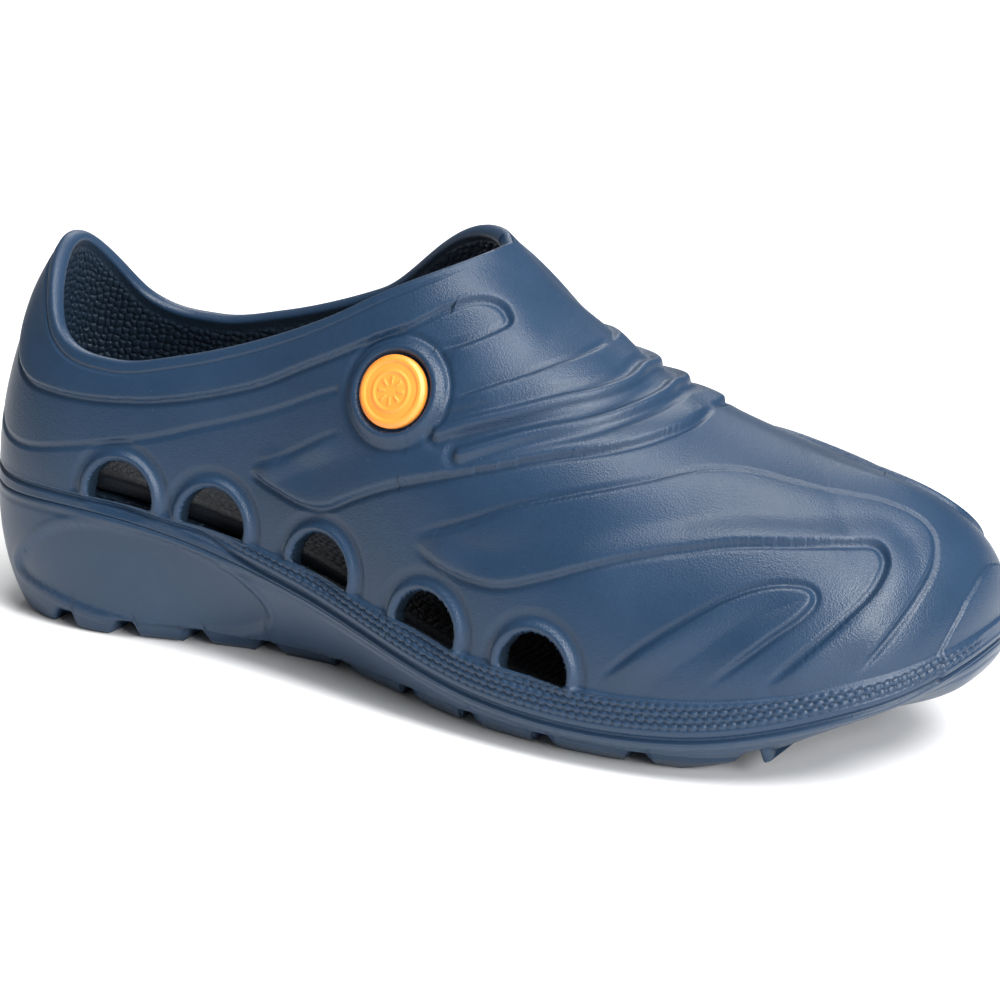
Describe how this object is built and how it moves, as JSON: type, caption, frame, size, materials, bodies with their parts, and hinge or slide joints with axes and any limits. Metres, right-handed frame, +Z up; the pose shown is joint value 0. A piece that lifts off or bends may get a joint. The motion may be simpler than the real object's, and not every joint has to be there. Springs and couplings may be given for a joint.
{
  "type": "garden clog",
  "caption": "Slip-on moulded garden clog for the right foot: vented upper on a bonded lugged sole, loose footbed and snap buttons.",
  "frame": {"origin": "middle of the clog's length and width, on the ground under the tread", "axes": "+X towards the toe, -Y towards the outer (lateral) side, +Z up"},
  "size_m": [0.29, 0.1072, 0.1201],
  "materials": {
    "upper_foam": "satin moulded foam with a fine leather-like grain",
    "sole_foam": "satin moulded foam, smoother than the upper",
    "footbed_foam": "matt pebbled foam",
    "button_cap": "satin moulded plastic",
    "button_socket": "matt moulded plastic"
  },
  "bodies": {
    "clog": {"upper_shell": "upper_foam", "sole_unit": "sole_foam"},
    "footbed": {"footbed": "footbed_foam"},
    "lateral_button": {"lateral_button_cap": "button_cap", "lateral_button_socket": "button_socket"},
    "medial_button": {"medial_button_cap": "button_cap", "medial_button_socket": "button_socket"}
  },
  "joints": [
    {"name": "footbed_lift", "type": "slide", "parent": "clog", "child": "footbed", "axis": [0, 0, 1], "range_m": [0, 0.003]},
    {"name": "lateral_button_spin", "type": "hinge", "parent": "clog", "child": "lateral_button", "pos_m": [-0.00914, -0.03442, 0.08503], "axis": [-0.0641, -0.9316, 0.3577], "continuous": true},
    {"name": "medial_button_spin", "type": "hinge", "parent": "clog", "child": "medial_button", "pos_m": [-0.01942, 0.03347, 0.08874], "axis": [0.0122, 0.9629, 0.2697], "continuous": true}
  ]
}
